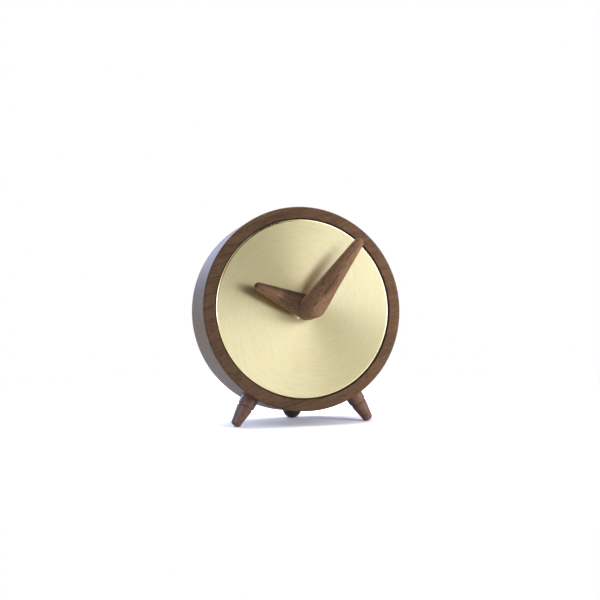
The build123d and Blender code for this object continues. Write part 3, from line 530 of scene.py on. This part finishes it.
# %% Plastics, rubber and the rest
ferrite = plain_finish("ferrite", (0.05, 0.05, 0.055), 0.55, 0.0, 0.2, 8.0, 0.4)
white_acetal = plain_finish("white acetal", (0.78, 0.78, 0.74), 0.35, 0.0, 0.04, 3.0, 0.1)
black_plastic = plain_finish(
    "black plastic", (0.022, 0.022, 0.024), 0.5, 0.0, 0.2, 9.0, 0.5, 0.00004
)
knob_plastic = plain_finish("knob plastic", (0.03, 0.03, 0.032), 0.4, 0.0, 0.2, 7.0, 0.3)
black_rubber = plain_finish("black rubber", (0.024, 0.02, 0.02), 0.55, 0.0, 0.25, 6.0, 0.5, 0.00005)
laminate = plain_finish("circuit laminate", (0.3, 0.19, 0.06), 0.45, 0.0, 0.2, 6.0, 0.3)
epoxy = plain_finish("black epoxy", (0.015, 0.015, 0.016), 0.15, 0.0, 0.1, 2.0, 0.2, 0.00008)
print("plastics and rubber ready")

# %% [markdown]
# The cell wears a printed sleeve that stops short of its two ends, with one silver band round it.
# The sleeve could be a tube of its own, but it is a tenth of a millimetre thick. The places on x
# where it ends and where the band runs are enough, and they slide out with the cell, because the
# finish is laid out on the piece itself.

# %% Sleeve of the cell
sleeve_end = 23.4
band_start, band_end = 9.0, 11.6
print_edge = 0.1
band_silver = (0.7, 0.71, 0.72, 1)
bare_steel = (0.66, 0.66, 0.64, 1)

sleeve = plain_finish("cell sleeve", (0.05, 0.1, 0.2), 0.3, 0.3, 0.05, 2.0, 0.1)
sleeve_tree = sleeve.node_tree
sleeve_shader = sleeve_tree.nodes["Principled BSDF"]
sleeve_blue = sleeve_shader.inputs["Base Color"].links[0].from_socket
cell_place = laid_out(sleeve_tree, case_frame)
cell_x = add_node(sleeve_tree, "ShaderNodeSeparateXYZ", i0=cell_place).outputs[0]
off_middle = calculate(sleeve_tree, "ABSOLUTE", cell_x)
bare = remap(sleeve_tree, off_middle, sleeve_end, sleeve_end + print_edge)
past_start = remap(sleeve_tree, cell_x, band_start, band_start + print_edge)
before_end = remap(sleeve_tree, cell_x, band_end, band_end - print_edge)
band = calculate(sleeve_tree, "MULTIPLY", past_start, before_end)
coated = mix_colours(sleeve_tree, band, sleeve_blue, band_silver)
coated = mix_colours(sleeve_tree, bare, coated, bare_steel)
sleeve_tree.links.new(coated, sleeve_shader.inputs["Base Color"])
print("sleeve ready")

# %% [markdown]
# The hands are the carver's work: no edge on them is sharp, and no face quite flat. A turned or
# milled part could stay as it is, but these are remeshed into one even skin, relaxed until the
# arrises are soft, and then given the faint unevenness that a knife and sandpaper leave.

# %% Carved hands
skin_size = 0.0004
relaxing_rounds = 34
carving_depth = 0.00008
carving_length = 0.006


def evened(name, node):
    """A new mesh with an even skin and soft edges, in the shape of a CAD node."""
    piece = bpy.data.objects.new(name, nodes[node].data.copy())
    scene.collection.objects.link(piece)
    remesh = piece.modifiers.new("remesh", "REMESH")
    remesh.mode = "VOXEL"
    remesh.voxel_size = skin_size
    relax = piece.modifiers.new("relax", "SMOOTH")
    relax.factor = 0.5
    relax.iterations = relaxing_rounds
    finished = piece.evaluated_get(bpy.context.evaluated_depsgraph_get())
    skin = bpy.data.meshes.new_from_object(finished)
    piece.modifiers.clear()
    piece.data = skin
    piece.data.shade_smooth()
    return piece


def carve(piece, seed):
    """Sinks the skin by more or less, as hand tools leave it."""
    start = Vector((seed * 3.1, seed * 1.7, seed * 2.3))
    for vertex in piece.data.vertices:
        wave = mathutils.noise.noise(vertex.co / carving_length + start)
        vertex.co -= vertex.normal * carving_depth * (0.5 + 0.5 * wave)


for name, node, finish, body, seed in (
    ("carved_minute_hand", "minute_hand", minute_walnut, "minute_arbor", 1),
    ("carved_hour_hand", "hour_hand", hour_walnut, "hour_pipe", 2),
):
    hand = evened(name, node)
    carve(hand, seed)
    hand.data.materials.clear()
    hand.data.materials.append(finish)
    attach(hand, body)
    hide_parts(node)
    print(name, len(hand.data.vertices), "vertices")

# %% [markdown]
# The back of such a movement carries its marks moulded in: a double arrow beside the setting knob,
# and a plus and a minus where the two ends of the cell go. A bump in the finish could fake them,
# but real edges catch the light from any side. So each is an outline drawn flat on the back cover,
# measured from the knob and the contacts, and raised by less than half a millimetre.

# %% Where the marks go
def in_the_case(node):
    """A node's points in the case's own frame, in millimetres."""
    from_world = case_frame.inverted()
    return [from_world @ vertex.co * 1000 for vertex in nodes[node].data.vertices]


def middle_of(points, axis):
    """Halfway between the lowest and the highest point along an axis."""
    return (min(point[axis] for point in points) + max(point[axis] for point in points)) / 2


cover_points = in_the_case("movement_back_cover")
cover_back = min(point.z for point in cover_points)
knob_points = [point for point in in_the_case("setting_knob") if point.z < cover_back]
knob_x, knob_y = middle_of(knob_points, 0), middle_of(knob_points, 1)
knob_radius = max(point.x for point in knob_points) - knob_x
plus_side = math.copysign(1, middle_of(in_the_case("positive_contact"), 0))
print("knob", round(2 * knob_radius, 1), "mm across")

# %% Outlines of the marks
def arrow_outline(inner, outer, half_turn, head_turn, head_spread):
    """A band round the knob, with an arrowhead at each end."""
    def at(radius, degrees):
        angle = math.radians(90 + degrees)
        return (knob_x + radius * math.cos(angle), knob_y + radius * math.sin(angle))
    steps = [half_turn * (i / 6 - 1) for i in range(13)]
    mid, tip_turn = (inner + outer) / 2, half_turn + head_turn
    low, high = inner - head_spread, outer + head_spread
    first_head = [at(low, -half_turn), at(mid, -tip_turn), at(high, -half_turn)]
    last_head = [at(high, half_turn), at(mid, tip_turn), at(low, half_turn)]
    outer_side = [at(outer, step) for step in steps]
    inner_side = [at(inner, step) for step in reversed(steps)]
    return first_head + outer_side + last_head + inner_side


def bar_outline(x, y, half_length, half_width):
    """A minus sign."""
    corners = [(-1, -1), (1, -1), (1, 1), (-1, 1)]
    return [(x + i * half_length, y + j * half_width) for i, j in corners]


def plus_outline(x, y, half_length, half_width):
    """A plus sign: a quarter of its outline, turned round four times."""
    quarter = [(half_length, -half_width), (half_length, half_width), (half_width, half_width)]
    turns = [(1, 0), (0, 1), (-1, 0), (0, -1)]
    return [(x + i * c - j * s, y + i * s + j * c) for c, s in turns for i, j in quarter]


sign_x = 15
sign_y = min(point.y for point in cover_points) + 3.4
sign_size = (1.9, 0.5)
mark_outlines = [
    arrow_outline(knob_radius + 2.2, knob_radius + 3.3, 40, 13, 1.1),
    plus_outline(plus_side * sign_x, sign_y, *sign_size),
    bar_outline(-plus_side * sign_x, sign_y, *sign_size),
]
print(len(mark_outlines), "marks drawn")

# %% Marks moulded on the back
mark_root = 0.1
mark_height = 0.4


def ring_of_points(mesh, outline, depth):
    """The corners of an outline at a depth behind the dial."""
    corners = [Vector((x, y, depth)) / 1000 for x, y in outline]
    return [mesh.verts.new(case_frame @ corner) for corner in corners]


marks_mesh = bmesh.new()
for outline in mark_outlines:
    low = ring_of_points(marks_mesh, outline, cover_back + mark_root)
    high = ring_of_points(marks_mesh, outline, cover_back - mark_height)
    marks_mesh.faces.new(low)
    marks_mesh.faces.new(high)
    for i in range(len(outline)):
        j = (i + 1) % len(outline)
        marks_mesh.faces.new((low[i], low[j], high[j], high[i]))
bmesh.ops.recalc_face_normals(marks_mesh, faces=marks_mesh.faces)
marks_data = bpy.data.meshes.new("moulded_marks")
marks_mesh.to_mesh(marks_data)
marks = bpy.data.objects.new("moulded_marks", marks_data)
scene.collection.objects.link(marks)
marks.data.materials.append(black_plastic)
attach(marks, "clock")
print("moulded marks", len(marks_data.polygons), "faces")

# %% [markdown]
# All other pieces keep the shape that the CAD model gives them, which is already that of the real
# ones, down to the teeth of the wheels. They only need the right finish in their material slots.

# %% Finishes on the CAD pieces
finishes = {
    "case": case_walnut, "dial": dial_brass, "hour_hand": hour_walnut,
    "minute_hand": minute_walnut, "front_left_leg": left_leg_walnut_painted_shade,
    "front_right_leg": right_leg_walnut, "battery": sleeve, "coil_winding": copper,
    "circuit_board": laminate, "circuit_chip": epoxy, "rotor_magnet": ferrite,
    "setting_knob": knob_plastic,
}
shared_finishes = [
    (turned_brass, "dial_washer fixing_nut hour_hand_bush minute_hand_bush cannon_pinion"),
    (white_acetal, "hour_wheel motion_wheel centre_wheel third_wheel seconds_wheel"),
    (white_acetal, "intermediate_wheel rotor movement_plate coil_bobbin"),
    (black_plastic, "movement_housing movement_back_cover"),
    (black_rubber, "rear_foot rubber_washer"),
    (zinc_steel, "leg_studs cover_screws"),
    (silicon_steel, "stator coil_core"),
    (nickel, "quartz_crystal negative_contact positive_contact"),
]
for finish, names in shared_finishes:
    finishes.update({node_name: finish for node_name in names.split()})
for node_name, finish in finishes.items():
    for material_slot in nodes[node_name].material_slots:
        material_slot.material = finish
print(len(finishes), "CAD pieces finished")

# %% [markdown]
# The photograph was taken in a white sweep: white table, white backdrop and large soft lights.
# A bent sheet could stand in for the sweep, but a flat table does as well. It is a real surface
# that takes the shadow, shown brighter to the camera than it lights the clock, as a bleached
# picture shows it. Beyond reach of the shadow it fades to plain white.

# %% Floor
floor_colour = (0.84, 0.85, 0.88, 1)
floor_in_picture = (1.72, 1.74, 1.79, 1)
fade_start, fade_end = 0.1, 0.22

bpy.ops.mesh.primitive_plane_add(size=8, location=(0, 0, 0))
floor = bpy.context.object
floor.name = "floor"
floor_finish, floor_tree, floor_shader = new_finish("floor")
floor.data.materials.append(floor_finish)
floor_rays = add_node(floor_tree, "ShaderNodeLightPath").outputs
shown_colour = mix_colours(
    floor_tree, floor_rays["Is Camera Ray"], floor_colour, floor_in_picture
)
floor_tree.links.new(shown_colour, floor_shader.inputs["Base Color"])
floor_shader.inputs["Roughness"].default_value = 0.6
floor_shader.inputs["Specular IOR Level"].default_value = 0.2
floor_place = add_node(floor_tree, "ShaderNodeTexCoord").outputs["Object"]
fade = remap(floor_tree, length_of(floor_tree, floor_place), fade_start, fade_end)
seen = calculate(
    floor_tree, "MAXIMUM", floor_rays["Is Camera Ray"], floor_rays["Is Glossy Ray"]
)
seen = calculate(floor_tree, "MAXIMUM", seen, floor_rays["Is Transmission Ray"])
white = add_node(floor_tree, "ShaderNodeEmission", Color=(1, 1, 1, 1), Strength=1.0)
blend = add_node(
    floor_tree, "ShaderNodeMixShader", i0=calculate(floor_tree, "MULTIPLY", fade, seen),
    i1=floor_shader.outputs[0], i2=white.outputs[0],
)
floor_tree.links.new(blend.outputs[0], floor_tree.nodes["Material Output"].inputs["Surface"])
print("floor ready")

# %% [markdown]
# Brushed brass is only as lively as what it mirrors, so the studio matters more than the lamps.
# Panels could stand round the clock as glowing planes, but drawn on the sky they cost no time and
# cast no stray shadow. The sky of this studio is one even white with soft boxes in it, each given
# by the direction of its middle, its half width and half height in degrees, and its brightness.
# Directions are measured from the front of the clock, positive to the right, and upwards from the
# table. The photographer's own dark side is a box too, a dim one: it gives the dial its darker
# wedges. The ceiling above the boxes is dim as well.

# %% Directions in the studio
scene.view_settings.view_transform = "Standard"
world = bpy.data.worlds.new("studio")
scene.world = world
world.use_nodes = True
world_tree = world.node_tree
in_degrees = 180 / math.pi

look = add_node(world_tree, "ShaderNodeTexCoord").outputs["Generated"]
look_parts = add_node(world_tree, "ShaderNodeSeparateXYZ", i0=look).outputs
forward = calculate(world_tree, "MULTIPLY", look_parts[1], -1.0)
look_turn = calculate(world_tree, "ARCTAN2", look_parts[0], forward)
look_rise = calculate(world_tree, "ARCSINE", look_parts[2])
look_side = calculate(world_tree, "MULTIPLY", look_turn, in_degrees)
look_height = calculate(world_tree, "MULTIPLY", look_rise, in_degrees)
print("studio directions ready")

# %% Soft boxes
soft_boxes = {
    "dark side": (-6, 47, 26, 34, 0.05),
    "right box": (48, 24, 17, 34, 2.9),
    "left box": (-58, 6, 27, 20, 2.6),
    "back left box": (-160, 26, 26, 14, 5.0),
}
sky_level = 0.8
softness = 9
ceiling_start, ceiling_full, ceiling_level = 58, 78, 0.25


def inside_box(side, height, half_width, half_height):
    """1 inside a box and 0 outside it, with a soft border."""
    off_side = calculate(
        world_tree, "ABSOLUTE", calculate(world_tree, "SUBTRACT", look_side, side)
    )
    off_height = calculate(
        world_tree, "ABSOLUTE", calculate(world_tree, "SUBTRACT", look_height, height)
    )
    return calculate(
        world_tree, "MULTIPLY",
        remap(world_tree, off_side, half_width + softness, half_width - softness),
        remap(world_tree, off_height, half_height + softness, half_height - softness),
    )


level = sky_level
for *box, brightness in soft_boxes.values():
    level = mix_numbers(world_tree, inside_box(*box), level, brightness)
ceiling = remap(world_tree, look_height, ceiling_start, ceiling_full, 1.0, ceiling_level)
level = calculate(world_tree, "MULTIPLY", level, ceiling)
print("sky with", len(soft_boxes), "boxes")

# %% [markdown]
# Flash light is cool and a white room is a little warm, which shows as blue and cream on the wood
# and the brass. Cream walls in front, a bluish back and cool boxes give that with three colours.
# Wood lit evenly from all round looks flat, but brass needs a bright room to mirror. So rays that
# light a matt surface meet only a share of the sky, and mirrored rays meet all of it. The camera
# itself sees plain white.

# %% Colours of the studio
fill_share = 0.25
cool_back = (0.8, 0.92, 1.3, 1)
warm_front = (1, 0.975, 0.89, 1)
cool_flash = (0.95, 1.0, 1.2, 1)
plain_white = (1, 1, 1, 1)

world_rays = add_node(world_tree, "ShaderNodeLightPath").outputs
from_a_box = remap(world_tree, level, 0.8, 2.6)
front_tint = mix_colours(world_tree, from_a_box, warm_front, cool_flash)
in_front = remap(world_tree, forward, -0.5, 0.3)
tint = mix_colours(world_tree, in_front, cool_back, front_tint)
share = remap(world_tree, world_rays["Is Diffuse Ray"], 0, 1, 1.0, fill_share)
lit = scaled(world_tree, tint, calculate(world_tree, "MULTIPLY", level, share))
shown_sky = mix_colours(world_tree, world_rays["Is Camera Ray"], lit, plain_white)
world_tree.links.new(shown_sky, world_tree.nodes["Background"].inputs["Color"])
print("world ready")

# %% [markdown]
# Two lamps do the rest. A wide one overhead lays the soft shadow under the clock. A small one low
# on the right models the hands and legs, bright on one flank and dark on the other. A wide lamp
# there would light both flanks, and the brass would mirror it as a patch, so it is kept small and
# out of mirrored rays.

# %% Lamps
def soft_lamp(name, place, aim, size, power, colour=(1, 1, 1)):
    """A square area lamp that points at a place."""
    lamp_data = bpy.data.lights.new(name, "AREA")
    lamp_data.size = size
    lamp_data.energy = power
    lamp_data.color = colour
    lamp = bpy.data.objects.new(name, lamp_data)
    scene.collection.objects.link(lamp)
    lamp.location = place
    lamp.rotation_mode = "QUATERNION"
    lamp.rotation_quaternion = (Vector(place) - Vector(aim)).to_track_quat("Z", "Y")
    return lamp


soft_lamp("overhead", (0.0, 0.2, 0.8), (0, 0, 0), size=0.8, power=8.0)
key = soft_lamp(
    "key", (0.37, -0.28, 0.05), (0, 0, 0.06), size=0.1, power=2.3, colour=(1, 0.98, 0.95)
)
key.visible_glossy = False
print("lamps ready")
